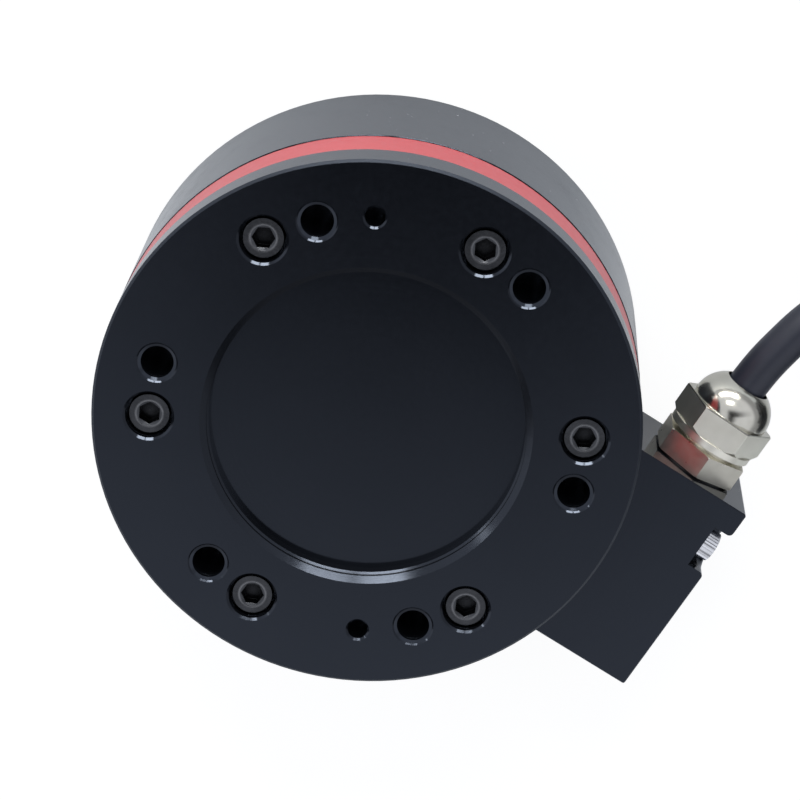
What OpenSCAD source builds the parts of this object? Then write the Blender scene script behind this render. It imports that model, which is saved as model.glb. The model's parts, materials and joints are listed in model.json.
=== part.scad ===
// Six-axis force torque sensor with a side cable outlet and a coiled lead.
// The rear mounting face lies on z = 0 and the sensor's axis is Z; the tool bolts to the top face.

/* [Body] */
// Outer diameter of the flange and the housing
disc_d = 110; // [104:1:130]
// Height from the rear mounting face to the tool face
total_h = 56; // [50:1:70]
// Height of the flange's full-width rim
rim_h = 8.4; // [7:0.2:9.4]
// Height of the groove that carries the label
groove_h = 11.6; // [10.6:0.2:13]
// Depth of the label groove below the outer diameter
groove_depth = 0.4; // [0.4:0.1:1.5]
// Chamfer on the outer edges
edge_chamfer = 0.5; // [0.3:0.1:1.2]
// Thickness of the housing's side wall
wall_t = 4.5; // [4:0.25:6]

/* [Mounting pattern] */
// Pitch circle of the screws, tapped holes and dowel holes
pitch_d = 87; // [85:0.5:90]
// Bore of the M8 tapped holes
tap_d = 6.6; // [6:0.1:7.6]
// Depth of the tapped holes in the tool flange
tap_depth = 14; // [8:0.5:15]
// Depth of the tapped holes in the rear face
rear_tap_depth = 10; // [6:0.5:11]
// Diameter of the countersink at the mouth of a tapped hole
tap_mouth_d = 8.4; // [8.1:0.1:10]
// Dowel hole diameter
dowel_d = 4; // [3:0.5:6]
// Dowel hole depth
dowel_depth = 8; // [5:0.5:10]

/* [Pilots] */
// Diameter of the tool pilot's seat
pilot_d = 63.4; // [50:0.2:66]
// Depth of the tool pilot
pilot_depth = 4.8; // [4:0.2:7]
// Chamfer at the mouth of the tool pilot
pilot_chamfer = 1.2; // [0.6:0.2:2]
// Diameter of the rear pilot
rear_pilot_d = 60; // [50:0.5:66]
// Depth of the rear pilot
rear_pilot_depth = 4; // [2:0.5:5]

/* [Flange screws] */
// Thread diameter of the flange and hub screws
screw_d = 5; // [4:0.5:6]
// Head diameter
head_d = 8.5; // [8:0.1:9.5]
// Head height
head_h = 5; // [4:0.5:6]
// Socket width across flats
socket_af = 4; // [3:0.5:5]
// Length of the flange screws under the head
flange_screw_l = 20; // [16:1:22]
// Length of the hub screws under the head
hub_screw_l = 16; // [14:1:20]
// How far a flange screw's head lies below the tool face
head_sink = 1.5; // [0.5:0.1:2.5]
// Counterbore diameter
counterbore_d = 9.5; // [9.3:0.1:11]
// Pitch circle of the hub screws
hub_pitch_d = 21; // [20:0.5:24]

/* [Sensing element] */
// Inner diameter of the loaded ring
ring_bore_d = 74; // [70:1:76]
// Diameter of the hub
hub_d = 32; // [31:0.5:35]
// Width of a beam
beam_w = 9; // [7:0.5:12]
// Height of a beam
beam_h = 9; // [7:0.5:11]
// Thickness of the flexure left between a beam and its slot
flexure_t = 2; // [1.5:0.1:2.4]
// Width of the slot behind a flexure
slot_w = 1.8; // [1:0.1:2]
// Angle that each slot spans
slot_angle = 26; // [20:1:30]

/* [Amplifier board] */
// Board thickness
board_t = 1.6; // [1:0.2:2.4]
// Diameter of the circle of the board screws
board_pitch_d = 80; // [76:1:84]

/* [Outlet block] */
// Width of the block across the sensor's radius
block_w = 45.6; // [43:0.2:50]
// Distance that the block stands out from the housing's side
block_out = 24; // [22.6:0.2:28]
// Distance from the block's front face up to the label groove's lower edge
block_step = 1; // [0.5:0.5:2.5]
// Sideways shift of the block's middle
block_shift = -2.3; // [-3:0.1:0]
// Thickness of the block's end walls
end_wall = 5.5; // [5:0.5:6.5]
// Thickness of the wall that holds the gland
gland_wall = 8; // [7:0.5:9]
// Width of the notch around a block screw
notch_w = 9.9; // [8:0.1:11]
// Depth of the notch
notch_depth = 4; // [3.2:0.1:4.5]
// Thread diameter of the block screws
block_screw_d = 3; // [2.5:0.5:3.5]
// Head diameter of the block screws
block_head_d = 6.4; // [5.5:0.1:7]

/* [Cable gland] */
// Distance of the gland's axis from the housing's side
gland_out = 11; // [10.5:0.5:12]
// Thread diameter of the gland
gland_thread_d = 16; // [15.5:0.5:17]
// Width across flats of the gland body
gland_af = 17.6; // [17:0.1:20]
// Height of the gland body's hexagon
gland_hex_h = 5.1; // [4:0.1:7]
// Width across flats of the gland nut
nut_af = 18; // [17:0.1:20]
// Height of the gland nut's hexagon
nut_hex_h = 6; // [4:0.5:8]
// Height of the round skirt below the nut's hexagon
skirt_h = 1.5; // [1:0.25:3]

/* [Cable and plug] */
// Diameter of the cable
cable_d = 8.4; // [7.6:0.2:8.8]
// Middle diameter of the coil
coil_d = 92; // [84:1:100]
// Thickness of the cable ties
tie_t = 1; // [0.8:0.1:1.2]
// Width of the cable ties
tie_w = 4.8; // [3.6:0.2:7.6]
// Width of the plug's hood
hood_w = 39.5; // [38:0.5:44]
// Thickness of the plug's hood
hood_t = 16; // [15:0.5:17]
// Length of the plug's hood
hood_l = 34; // [30:1:40]

/* [Hidden] */
$fn = 96;

black_anodised = [0.09, 0.10, 0.12];
steel = [0.55, 0.55, 0.56];
black_oxide = [0.13, 0.13, 0.13];
nickel = [0.74, 0.73, 0.69];
label_red = [0.72, 0.12, 0.13];
alloy = [0.80, 0.80, 0.78];
board_green = [0.05, 0.30, 0.16];
brass = [0.78, 0.62, 0.30];
black_plastic = [0.08, 0.08, 0.09];
cable_black = [0.12, 0.12, 0.15];

overshoot = 1;            // how far a cutter runs past the face it leaves
thread_gap = 0.05;        // radial room between a screw and its tapped hole
bore_gap = 0.25;          // radial room between a screw and its plain hole
running_gap = 0.3;        // height of the gap between flange and housing
side_gap = 0.6;           // radial room around the sensing element
end_gap = 0.15;           // room at the ends of a wire
seam = 0.02;              // room between faces that only touch
screw_count = 6;
pattern_step = 360 / screw_count;
tap_angle = 45;
dowel_angle = 90;
edge_break = 0.15;        // on the edges that face the label groove
dowel_mouth = 0.4;
tap_major_d = 7.8;        // across the roots of the thread
tap_flank = (tap_major_d - tap_d) / 2 * tan(30);   // height of the first turn's flank
disc_r = disc_d / 2;
pitch_r = pitch_d / 2;
pilot_step = 0.4;         // radial step between the pilot's wall and its seat
pilot_land = 0.8;         // height of the wall above that step

// Heights of the stack
plate_t = 16;             // from the tool face to the underside of the flange plate
floor_t = total_h / 4;
ring_h = total_h / 4;
housing_h = total_h - rim_h - groove_h;
rim_z = total_h - rim_h;
neck_z = housing_h + running_gap;
plate_z = total_h - plate_t;
cavity_r = disc_r - wall_t;
neck_r = disc_r - groove_depth;
label_t = 0.2;
label_glue = 0.05;
label_margin = 0.4;
label_seam_angle = 4;
seal_w = 1.2;
seal_depth = 1.2;
seal_r = cavity_r + wall_t / 2 - seal_w / 2;
head_z = total_h - head_sink - head_h;  // underside of a flange screw's head
head_mouth = 0.45;
socket_step = 29;         // turn from one screw's socket to the next

// Sensing element
ring_r = cavity_r - side_gap - bore_gap;
ring_z = plate_z - ring_h;
hub_gap = 2;
hub_top = plate_z - hub_gap;
hub_sink = 0.5;
hub_head_z = rear_pilot_depth + head_h + hub_sink;
hub_bore_d = 8;
beam_lift = 1.5;
beam_z = ring_z + beam_lift;
beam_count = 3;
beam_angle = 30;
beam_step = 360 / beam_count;
gauge_l = 5;
gauge_w = 3;
gauge_t = 0.2;
gauge_r = 25;

// Board
board_gap = 3.5;
board_r = cavity_r - board_gap;
board_hole_r = hub_d / 2 + hub_gap;
board_screw_d = 3;
board_screw_l = 8;
board_head_d = 5.5;
board_head_h = 1.7;
board_socket = 2;
board_angle = 75;
lead_r = 22;
lead_t = 0.4;
lead_w = 6;
chip_w = 5;
chip_inset = 7;
chip_angle = 60;
chip_t = 1.6;
processor_w = 10;
capacitor_d = 5;
capacitor_h = 4.6;
capacitor_angle = 110;

// Outlet block, in a frame turned to the block's direction: X outward, Y across, Z up
block_angle = -30;
block_reach = disc_r + block_out;
block_share = 0.736;      // of the housing's height
block_h = housing_h * block_share;
block_top = housing_h - block_step;
block_z = block_top - block_h;
block_mid_z = block_z + block_h / 2;
block_y0 = block_shift - block_w / 2;
block_y1 = block_shift + block_w / 2;
gasket_t = 0.4;
gasket_margin = 1;
block_corner_r = 0.6;
block_edge = 0.2;
cavity_margin = 6.5;      // from the cavity to the block's upper and lower faces
cavity_h = block_h - 2 * cavity_margin;
cavity_x1 = block_reach - end_wall;
cavity_y0 = block_y0 + end_wall;
cavity_y1 = block_y1 - gland_wall;
block_screw_y = 12.05;    // offset of each block screw from the block's middle
screw_edge = 3.6;         // from a block screw's axis to the nearest face
block_screw_z = block_h / 2 - screw_edge;
block_seat = block_reach - notch_depth;
block_screw_in = 0.4;     // from a block screw's tip to the middle of the cavity's wall line
block_screw_l = block_seat - cavity_r + block_screw_in;
block_head_h = 3;
block_socket = 2.5;
knurl_teeth = 30;
lip_r = 1.1;

// Gland, along the block's Y direction, measured from the block's side face
gland_reach = disc_r + gland_out;
gland_share = 5 / 8;      // height of the gland's axis, of the housing's height
gland_z = housing_h * gland_share;
seal_ring_t = 0.4;
seal_ring_d = 17.6;
gland_thread_l = gland_wall - 1;
gland_hex_top = seal_ring_t + gland_hex_h;
gland_spigot_h = 7.5;
gland_top = gland_hex_top + gland_spigot_h;
nut_gap = 1;
insert_rise = 0.5;        // of the insert above the gland body
nut_z = gland_hex_top + nut_gap;
skirt_d = 18.9;
nut_hex_z = nut_z + skirt_h;
nut_hex_top = nut_hex_z + nut_hex_h;
hex_turning = 0.9;         // height turned off the corners next to the skirt
hex_edge = 0.25;          // height turned off the other corners
dome_round = 7;
dome_lift = 0.3;
dome_z = nut_hex_top + dome_lift;
dome_inset = 0.4;
dome_r = nut_af / 2 - dome_inset;
nut_thread_r = 7.5;
insert_r = 6.2;
insert_lift = 1.6;
insert_z = gland_hex_top + insert_lift;
insert_top = gland_top + insert_rise;
cable_r = cable_d / 2;
mouth_gap = 0.6;
mouth_r = cable_r + mouth_gap;
gland_bore_r = cable_r + bore_gap;
cable_end_in = 12;
cable_end_out = 15.5;
body_hex_turn = 30;
nut_hex_turn = -7.4;

// Inner harness: a bundle from the cable's end to the board's connector
harness_d = 4.5;
harness_bend = block_y1 - cable_end_in;   // bend radius, which brings the bundle onto the block's X axis
port_gap = 0.75;
port_d = harness_d + 2 * port_gap;
connector_inset = 17;
connector_x = disc_r - connector_inset;
connector_l = 7;
connector_w = 12;
board_clear = 1.15;       // under the bundle
board_top = gland_z - harness_d / 2 - board_clear;
board_z = board_top - board_t;
spacer_h = board_z - floor_t;

// Cable: its plan position is measured from where it leaves the gland
exit_y = block_y1 + cable_end_out;
lead_x = gland_reach * cos(block_angle) - exit_y * sin(block_angle);
lead_y = gland_reach * sin(block_angle) + exit_y * cos(block_angle);
coil_x = 94.5;
coil_edge_y = 39.7;         // Y of the coil's outermost turn
coil_layers = 3;
coil_columns = 2;
coil_w = coil_columns * cable_d;
coil_h = coil_layers * cable_d;
coil_z = tie_t;
coil_top = coil_z + coil_h;
turn_r = coil_d / 2 + coil_w / 2 - cable_r;   // middle radius of the outermost turn
coil_y = coil_edge_y - turn_r;
join_angle = 97;
join_run = sqrt(pow(turn_r + cable_d, 2) - pow(turn_r, 2));
low_z = coil_z + cable_r;
tube_sides = 12;
// Points of the free stretch: X, Y and the share of the gland's height still held
cable_steps = [[0, 0, 1], [2.7, 4.7, 1], [5.8, 9.3, 0.99], [9.3, 13.5, 0.97], [13.1, 17.5, 0.93],
    [17.4, 21, 0.87], [22.2, 24.1, 0.78], [27.5, 26.8, 0.66], [33.1, 29.1, 0.52], [38.9, 31.1, 0.37],
    [44.8, 32.8, 0.23], [50.8, 34.2, 0.1]];
join_point = [coil_x + turn_r * cos(join_angle) - join_run * sin(join_angle),
    coil_y + turn_r * sin(join_angle) + join_run * cos(join_angle), low_z];
cable_route = [for (p = cable_steps) [p[0], p[1], low_z + (gland_z - low_z) * p[2]], join_point];

tie_angles = [165, 225, 285];
tie_span = tie_w / (coil_d / 2) * 180 / PI;
tie_head_l = 5;
tie_head_h = 3;

// Tail: the last length, which rises from the coil's top into the plug
tail_r = coil_d / 2 - coil_w / 2 + cable_r;   // middle radius of the innermost turn
tail_angle = 107;
tail_steps = 10;
tail_in = 6;              // length of cable held inside the hood
plug_x = coil_x + tail_r;
plug_run = 2;
plug_y = coil_y - plug_run;   // where the cable enters the plug's hood
plug_z = coil_top + hood_t / 2;
tail_z = coil_top + cable_r;
tail_route = [for (i = [0 : tail_steps]) tail_point(i / tail_steps), [plug_x, plug_y, plug_z],
    [plug_x, plug_y - tail_in, plug_z]];

// Plug, in a frame at the cable's entry with Y along the plug
hood_rear_w = 20;
hood_shoulder = 12;
hood_wall = 2;
hood_corner = 2;
jack_x = 16.65;
jack_d = 3;
jack_head_d = 6;
jack_head_l = 8;
jack_reach = 6;
shell_w = 39.2;
shell_t = 12.5;
shell_plate = 1;
tongue_w = 25;
tongue_t = 8.4;
tongue_l = 6;
tongue_wall = 0.5;
tongue_lean = 10;
insulator_back = 4;
insulator_front = 5;
pin_d = 1;
pin_pitch = 2.74;
pin_row = 2.84;
pin_back = 8;
pin_front = 6.5;
wire_d = 0.9;
wire_crowd = 0.36;        // how much closer the wires lie at the cable's end than at the pins
upper_pins = 8;
lower_pins = 7;

function tail_point(s) =
    let (a = tail_angle * (1 - s), rise = s * s * (3 - 2 * s))
    [coil_x + tail_r * cos(a), coil_y + tail_r * sin(a), tail_z + (plug_z - tail_z) * rise];

// Vector helpers for the swept tubes
function unit(v) = v / norm(v);
function heading(path, i) = unit(path[min(i + 1, len(path) - 1)] - path[max(i - 1, 0)]);
function ring(path, i, r, sides) =
    let (t = heading(path, i), n = unit(cross([0, 0, 1], t)), b = cross(t, n))
    [for (k = [0 : sides - 1]) path[i] + r * (cos(360 * k / sides) * n + sin(360 * k / sides) * b)];

module tube(path, r, sides) {
    last = len(path) - 1;
    points = [for (i = [0 : last]) each ring(path, i, r, sides)];
    start_cap = [for (k = [0 : sides - 1]) k];
    end_cap = [for (k = [sides - 1 : -1 : 0]) last * sides + k];
    walls = [for (i = [0 : last - 1], k = [0 : sides - 1])
        [i * sides + k, (i + 1) * sides + k, (i + 1) * sides + (k + 1) % sides, i * sides + (k + 1) % sides]];
    polyhedron(points = points, faces = concat([start_cap, end_cap], walls));
}

// Placement helpers
module around(r, count, start) {
    for (i = [0 : count - 1])
        rotate(start + i * 360 / count)
            translate([r, 0, 0])
                children();
}

module at_block() {
    rotate(block_angle)
        children();
}

// Stands children up along the gland's axis, from the block's side face outward
module at_gland() {
    at_block()
        translate([gland_reach, block_y1, gland_z])
            rotate([-90, 0, 0])
                children();
}

// Lays children along a block screw's axis, pointing outward from its seat; -X is the nearer edge
module at_block_screws() {
    at_block()
        for (side = [1, -1])
            translate([block_seat, block_shift + side * block_screw_y, block_mid_z + side * block_screw_z])
                rotate([0, 90, 0])
                    rotate(90 - side * 90)
                        children();
}

// Moves children to where the cable leaves the gland
module at_lead() {
    translate([lead_x, lead_y, 0])
        children();
}

// Turns children to lie along the plug, from the cable's entry toward the pins
module at_plug() {
    at_lead()
        translate([plug_x, plug_y, plug_z])
            rotate(180)
                children();
}

// Straight round piece between two points
module rod(a, b, d) {
    v = b - a;
    translate(a)
        rotate([0, acos(v[2] / norm(v)), atan2(v[1], v[0])])
            cylinder(d = d, h = norm(v));
}

module hexagon(af, h) {
    cylinder(d = af / cos(30), h = h, $fn = 6);
}

// Round plate or drum with chamfered rims
module drum(r, h, low, high) {
    rotate_extrude()
        polygon([[0, 0], [r - low, 0], [r, low], [r, h - high], [r - high, h], [0, h]]);
}

// Hole from z = 0 down, with a chamfered mouth
module drilled(d, depth, mouth_d) {
    mouth = (mouth_d - d) / 2;
    translate([0, 0, -depth])
        cylinder(d = d, h = depth + overshoot);
    translate([0, 0, -mouth])
        cylinder(d1 = d, d2 = mouth_d + 2 * overshoot, h = mouth + overshoot);
}

// Tapped hole from z = 0 down: chamfered mouth, flank of the first turn, then the bore
module tapped(depth) {
    mouth = (tap_mouth_d - tap_major_d) / 2;
    translate([0, 0, -depth])
        cylinder(d = tap_d, h = depth);
    translate([0, 0, -mouth - tap_flank])
        cylinder(d1 = tap_d, d2 = tap_major_d, h = tap_flank);
    translate([0, 0, -mouth])
        cylinder(d1 = tap_major_d, d2 = tap_mouth_d + 2 * overshoot, h = mouth + overshoot);
}

// Cap screw with its seat at z = 0, head up and shank down
module cap_screw(d, l, head_width, head_height, af) {
    tip = d / 8;
    rim = head_width / 40;
    sink = af / 12;           // depth of the countersink round the socket
    socket = head_height / 2;
    difference() {
        union() {
            rotate_extrude()
                polygon([[0, 0], [head_width / 2, 0], [head_width / 2, head_height - rim],
                    [head_width / 2 - rim, head_height], [0, head_height]]);
            translate([0, 0, -l + tip])
                cylinder(d = d, h = l - tip + head_height / 4);
            translate([0, 0, -l])
                cylinder(d1 = d - 2 * tip, d2 = d, h = tip);
        }
        translate([0, 0, head_height - socket])
            hexagon(af, socket + overshoot);
        translate([0, 0, head_height - sink])
            cylinder(d1 = af, d2 = af + 4 * sink, h = sink);
    }
}

// Straight knurl: a round head with V grooves
module knurled(d, h, teeth) {
    depth = d / 28;
    linear_extrude(h)
        polygon([for (i = [0 : 2 * teeth - 1])
            (d / 2 - (i % 2) * depth) * [cos(180 * i / teeth), sin(180 * i / teeth)]]);
}

module tool_flange() {
    ledge_z = total_h - pilot_chamfer - pilot_land;
    wall_d = pilot_d + 2 * pilot_step;
    color(black_anodised)
        difference() {
            union() {
                translate([0, 0, rim_z])
                    drum(disc_r, rim_h, edge_break, edge_chamfer);
                translate([0, 0, neck_z])
                    cylinder(r = neck_r, h = rim_z - neck_z + overshoot);
            }
            translate([0, 0, neck_z - overshoot])
                cylinder(r = cavity_r - side_gap / 2, h = plate_z - neck_z + overshoot);
            translate([0, 0, total_h - pilot_depth])
                cylinder(d = pilot_d, h = pilot_depth + overshoot);
            translate([0, 0, ledge_z - pilot_step])
                cylinder(d1 = pilot_d, d2 = wall_d, h = pilot_step);
            translate([0, 0, ledge_z])
                cylinder(d = wall_d, h = total_h - ledge_z + overshoot);
            translate([0, 0, total_h - pilot_chamfer])
                cylinder(d1 = wall_d, d2 = wall_d + 2 * (pilot_chamfer + overshoot),
                    h = pilot_chamfer + overshoot);
            translate([0, 0, total_h]) {
                around(pitch_r, screw_count, tap_angle)
                    tapped(tap_depth);
                around(pitch_r, 2, dowel_angle)
                    drilled(dowel_d, dowel_depth, dowel_d + 2 * dowel_mouth);
                around(pitch_r, screw_count, 0)
                    drilled(counterbore_d, head_sink + head_h, counterbore_d + 2 * head_mouth);
            }
            around(pitch_r, screw_count, 0)
                translate([0, 0, plate_z - overshoot])
                    cylinder(r = screw_d / 2 + bore_gap, h = head_z - plate_z + 2 * overshoot);
        }
}

module flange_screws() {
    color(black_oxide)
        for (i = [0 : screw_count - 1])
            rotate(i * pattern_step)
                translate([pitch_r, 0, head_z])
                    rotate(i * socket_step)
                        cap_screw(screw_d, flange_screw_l, head_d, head_h, socket_af);
}

module label_band() {
    color(label_red)
        rotate(block_angle + label_seam_angle / 2)
            rotate_extrude(angle = 360 - label_seam_angle)
                translate([neck_r + label_glue, housing_h + label_margin])
                    square([label_t, groove_h - 2 * label_margin]);
}

module gap_seal() {
    color(black_plastic)
        translate([0, 0, housing_h - seal_depth])
            difference() {
                cylinder(r = seal_r + seal_w, h = seal_depth + running_gap);
                translate([0, 0, -overshoot])
                    cylinder(r = seal_r, h = seal_depth + running_gap + 2 * overshoot);
            }
}

module sensing_element() {
    color(alloy)
        difference() {
            union() {
                translate([0, 0, ring_z])
                    difference() {
                        cylinder(r = ring_r, h = ring_h);
                        translate([0, 0, -overshoot])
                            cylinder(d = ring_bore_d, h = ring_h + 2 * overshoot);
                    }
                translate([0, 0, floor_t])
                    cylinder(d = hub_d, h = hub_top - floor_t);
                for (i = [0 : beam_count - 1])
                    rotate(beam_angle + i * beam_step)
                        translate([0, -beam_w / 2, beam_z])
                            cube([ring_bore_d / 2 + flexure_t / 2, beam_w, beam_h]);
            }
            for (i = [0 : beam_count - 1])
                rotate(beam_angle + i * beam_step)
                    translate([0, 0, ring_z - overshoot])
                        flexure_slot();
            around(pitch_r, screw_count, 0)
                translate([0, 0, ring_z - overshoot])
                    cylinder(r = screw_d / 2 + thread_gap, h = ring_h + 2 * overshoot);
            around(hub_pitch_d / 2, screw_count, 0)
                translate([0, 0, floor_t - overshoot])
                    cylinder(r = screw_d / 2 + thread_gap, h = hub_screw_l);
            translate([0, 0, floor_t - overshoot])
                cylinder(d = hub_bore_d, h = hub_top - floor_t + 2 * overshoot);
        }
}

// Arc slot with round ends behind one beam
module flexure_slot() {
    slot_r = ring_bore_d / 2 + flexure_t;
    h = ring_h + 2 * overshoot;
    rotate(-slot_angle / 2)
        rotate_extrude(angle = slot_angle)
            translate([slot_r, 0])
                square([slot_w, h]);
    for (side = [-1, 1])
        rotate(side * slot_angle / 2)
            translate([slot_r + slot_w / 2, 0, 0])
                cylinder(d = slot_w, h = h);
}

// Four gauges to a beam: above, below and on both sides
module strain_gauges() {
    color(brass)
        for (i = [0 : beam_count - 1])
            rotate(beam_angle + i * beam_step)
                translate([gauge_r, 0, 0]) {
                    for (z = [beam_z - gauge_t, beam_z + beam_h])
                        translate([0, -gauge_w / 2, z])
                            cube([gauge_l, gauge_w, gauge_t]);
                    for (y = [-beam_w / 2 - gauge_t, beam_w / 2])
                        translate([0, y, beam_z + (beam_h - gauge_w) / 2])
                            cube([gauge_l, gauge_t, gauge_w]);
                }
}

// Flexible strips from under the beams down to the board
module gauge_leads() {
    color(brass)
        for (i = [0 : beam_count - 1])
            rotate(beam_angle + i * beam_step)
                translate([lead_r, -lead_w / 2, 0]) {
                    translate([0, 0, board_top])
                        cube([lead_t, lead_w, beam_z - board_top]);
                    translate([0, 0, beam_z - lead_t])
                        cube([gauge_r - lead_r, lead_w, lead_t]);
                    translate([-gauge_w, 0, board_top])
                        cube([gauge_w + lead_t, lead_w, lead_t]);
                }
}

module housing() {
    color(black_anodised)
        difference() {
            drum(disc_r, housing_h, edge_chamfer, edge_break);
            translate([0, 0, floor_t])
                cylinder(r = cavity_r, h = housing_h - floor_t + overshoot);
            translate([0, 0, housing_h - seal_depth])
                difference() {
                    cylinder(r = seal_r + seal_w, h = seal_depth + overshoot);
                    translate([0, 0, -overshoot])
                        cylinder(r = seal_r, h = seal_depth + 3 * overshoot);
                }
            mirror([0, 0, 1]) {
                drilled(rear_pilot_d, rear_pilot_depth, rear_pilot_d + 2 * edge_chamfer);
                around(pitch_r, screw_count, tap_angle)
                    tapped(rear_tap_depth);
                around(pitch_r, 2, dowel_angle)
                    drilled(dowel_d, dowel_depth, dowel_d + 2 * dowel_mouth);
            }
            around(hub_pitch_d / 2, screw_count, 0) {
                cylinder(r = head_d / 2 + bore_gap, h = hub_head_z);
                cylinder(r = screw_d / 2 + bore_gap, h = floor_t + overshoot);
            }
            around(board_pitch_d / 2, beam_count, board_angle)
                translate([0, 0, board_top - board_screw_l - thread_gap])
                    cylinder(r = board_screw_d / 2 + thread_gap, h = board_screw_l);
            at_block()
                translate([cavity_r - 3 * overshoot, 0, gland_z])
                    rotate([0, 90, 0])
                        cylinder(d = port_d, h = wall_t + 4 * overshoot);
            at_block_screws()
                translate([0, 0, -block_screw_l - thread_gap])
                    cylinder(r = block_screw_d / 2 + thread_gap, h = block_screw_l);
        }
}

module hub_screws() {
    color(black_oxide)
        around(hub_pitch_d / 2, screw_count, 0)
            translate([0, 0, hub_head_z])
                mirror([0, 0, 1])
                    cap_screw(screw_d, hub_screw_l, head_d, head_h, socket_af);
}

module amplifier_board() {
    color(board_green)
        translate([0, 0, board_z])
            difference() {
                cylinder(r = board_r, h = board_t);
                translate([0, 0, -overshoot])
                    cylinder(r = board_hole_r, h = board_t + 2 * overshoot);
                around(board_pitch_d / 2, beam_count, board_angle)
                    translate([0, 0, -overshoot])
                        cylinder(r = board_screw_d / 2 + bore_gap, h = board_t + 2 * overshoot);
            }
}

// Six channel amplifiers and one processor
module board_chips() {
    color(black_plastic)
        translate([0, 0, board_top]) {
            around(board_pitch_d / 2 - chip_inset, screw_count, chip_angle)
                translate([-chip_w / 2, -chip_w / 2, 0])
                    cube([chip_w, chip_w, chip_t]);
            rotate(board_angle + beam_step / 2)
                translate([board_hole_r + chip_w, -processor_w / 2, 0])
                    cube([processor_w, processor_w, chip_t]);
        }
}

module board_capacitors() {
    color(alloy)
        around(board_pitch_d / 2, screw_count, capacitor_angle)
            translate([0, 0, board_top])
                cylinder(d = capacitor_d, h = capacitor_h);
}

module board_connector() {
    color(black_plastic)
        at_block()
            translate([connector_x - connector_l, -connector_w / 2, board_top])
                cube([connector_l, connector_w, gland_z + harness_d / 2 - board_top]);
}

module board_spacers() {
    color(brass)
        around(board_pitch_d / 2, beam_count, board_angle)
            translate([0, 0, floor_t])
                difference() {
                    cylinder(d = board_head_d, h = spacer_h);
                    translate([0, 0, -overshoot])
                        cylinder(r = board_screw_d / 2 + bore_gap, h = spacer_h + 2 * overshoot);
                }
}

module board_screws() {
    color(steel)
        around(board_pitch_d / 2, beam_count, board_angle)
            translate([0, 0, board_top])
                cap_screw(board_screw_d, board_screw_l, board_head_d, board_head_h, board_socket);
}

// Plan of the block: straight sides, rounded outer corners, hollow against the housing
module block_plan() {
    x0 = disc_r / 2;
    difference() {
        union() {
            translate([x0, block_y0])
                square([block_reach - block_corner_r - x0, block_w]);
            translate([x0, block_y0 + block_corner_r])
                square([block_reach - x0, block_w - 2 * block_corner_r]);
            for (y = [block_y0 + block_corner_r, block_y1 - block_corner_r])
                translate([block_reach - block_corner_r, y])
                    circle(r = block_corner_r);
        }
        circle(r = disc_r + gasket_t + seam);
    }
}

// Rectangle with its four corners cut at 45 degrees, one corner at the origin
module cut_rectangle(w, h, cut) {
    polygon([[cut, 0], [w - cut, 0], [w, cut], [w, h - cut], [w - cut, h], [cut, h], [0, h - cut], [0, cut]]);
}

// Cutter for the notch around a block screw, with rounded lips; opens toward -X
module screw_notch() {
    cylinder(d = notch_w, h = notch_depth + overshoot);
    translate([-screw_edge - overshoot, -notch_w / 2, 0])
        cube([screw_edge + overshoot, notch_w, notch_depth + overshoot]);
    rotate(-90)
        rotate_extrude(angle = 180)
            lip_profile();
    for (side = [0, 1])
        mirror([0, side, 0])
            translate([-screw_edge - overshoot, 0, 0])
                rotate([90, 0, 90])
                    linear_extrude(screw_edge + overshoot)
                        lip_profile();
}

module lip_profile() {
    x = notch_w / 2;
    y = notch_depth - lip_r;
    difference() {
        translate([x - lip_r, y])
            square([2 * lip_r, lip_r + overshoot]);
        translate([x + lip_r, y])
            circle(r = lip_r);
    }
}

module outlet_block() {
    color(black_anodised)
        difference() {
            intersection() {
                at_block()
                    translate([0, 0, block_z])
                        linear_extrude(block_h)
                            block_plan();
                at_block()
                    translate([0, block_y0 - overshoot, block_z])
                        rotate([90, 0, 0])
                            mirror([0, 0, 1])
                                linear_extrude(block_w + 2 * overshoot)
                                    cut_rectangle(block_reach, block_h, block_edge);
                at_block()
                    translate([0, block_y0, block_z])
                        rotate([90, 0, 90])
                            linear_extrude(block_reach + overshoot)
                                cut_rectangle(block_w, block_h, block_edge);
            }
            at_block()
                translate([disc_r / 2, cavity_y0, block_mid_z - cavity_h / 2])
                    cube([cavity_x1 - disc_r / 2, cavity_y1 - cavity_y0, cavity_h]);
            at_gland()
                translate([0, 0, -gland_wall - overshoot])
                    cylinder(r = gland_thread_d / 2 + thread_gap, h = gland_wall + 2 * overshoot);
            at_gland()
                translate([0, 0, -cable_end_in - end_gap])
                    cylinder(r = gland_bore_r, h = cable_end_in);
            at_block_screws()
                translate([0, 0, -block_screw_l])
                    cylinder(r = block_screw_d / 2 + bore_gap, h = block_screw_l + overshoot);
            at_block_screws()
                screw_notch();
        }
}

module outlet_gasket() {
    color(black_plastic)
        difference() {
            at_block()
                translate([disc_r / 2, block_y0 + gasket_margin, block_z + gasket_margin])
                    cube([disc_r, block_w - 2 * gasket_margin, block_h - 2 * gasket_margin]);
            cylinder(r = disc_r, h = total_h);
            difference() {
                cylinder(r = 2 * disc_r, h = total_h);
                translate([0, 0, -overshoot])
                    cylinder(r = disc_r + gasket_t, h = total_h + 2 * overshoot);
            }
            at_block()
                translate([disc_r / 2, cavity_y0, block_mid_z - cavity_h / 2])
                    cube([disc_r, cavity_y1 - cavity_y0, cavity_h]);
            at_block_screws()
                translate([0, 0, -block_screw_l])
                    cylinder(r = block_screw_d / 2 + bore_gap, h = block_screw_l);
        }
}

module outlet_screws() {
    color(steel)
        at_block_screws()
            difference() {
                union() {
                    knurled(block_head_d, block_head_h, knurl_teeth);
                    translate([0, 0, -block_screw_l])
                        cylinder(d = block_screw_d, h = block_screw_l + overshoot);
                }
                translate([0, 0, block_head_h / 2])
                    hexagon(block_socket, block_head_h);
            }
}

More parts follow.
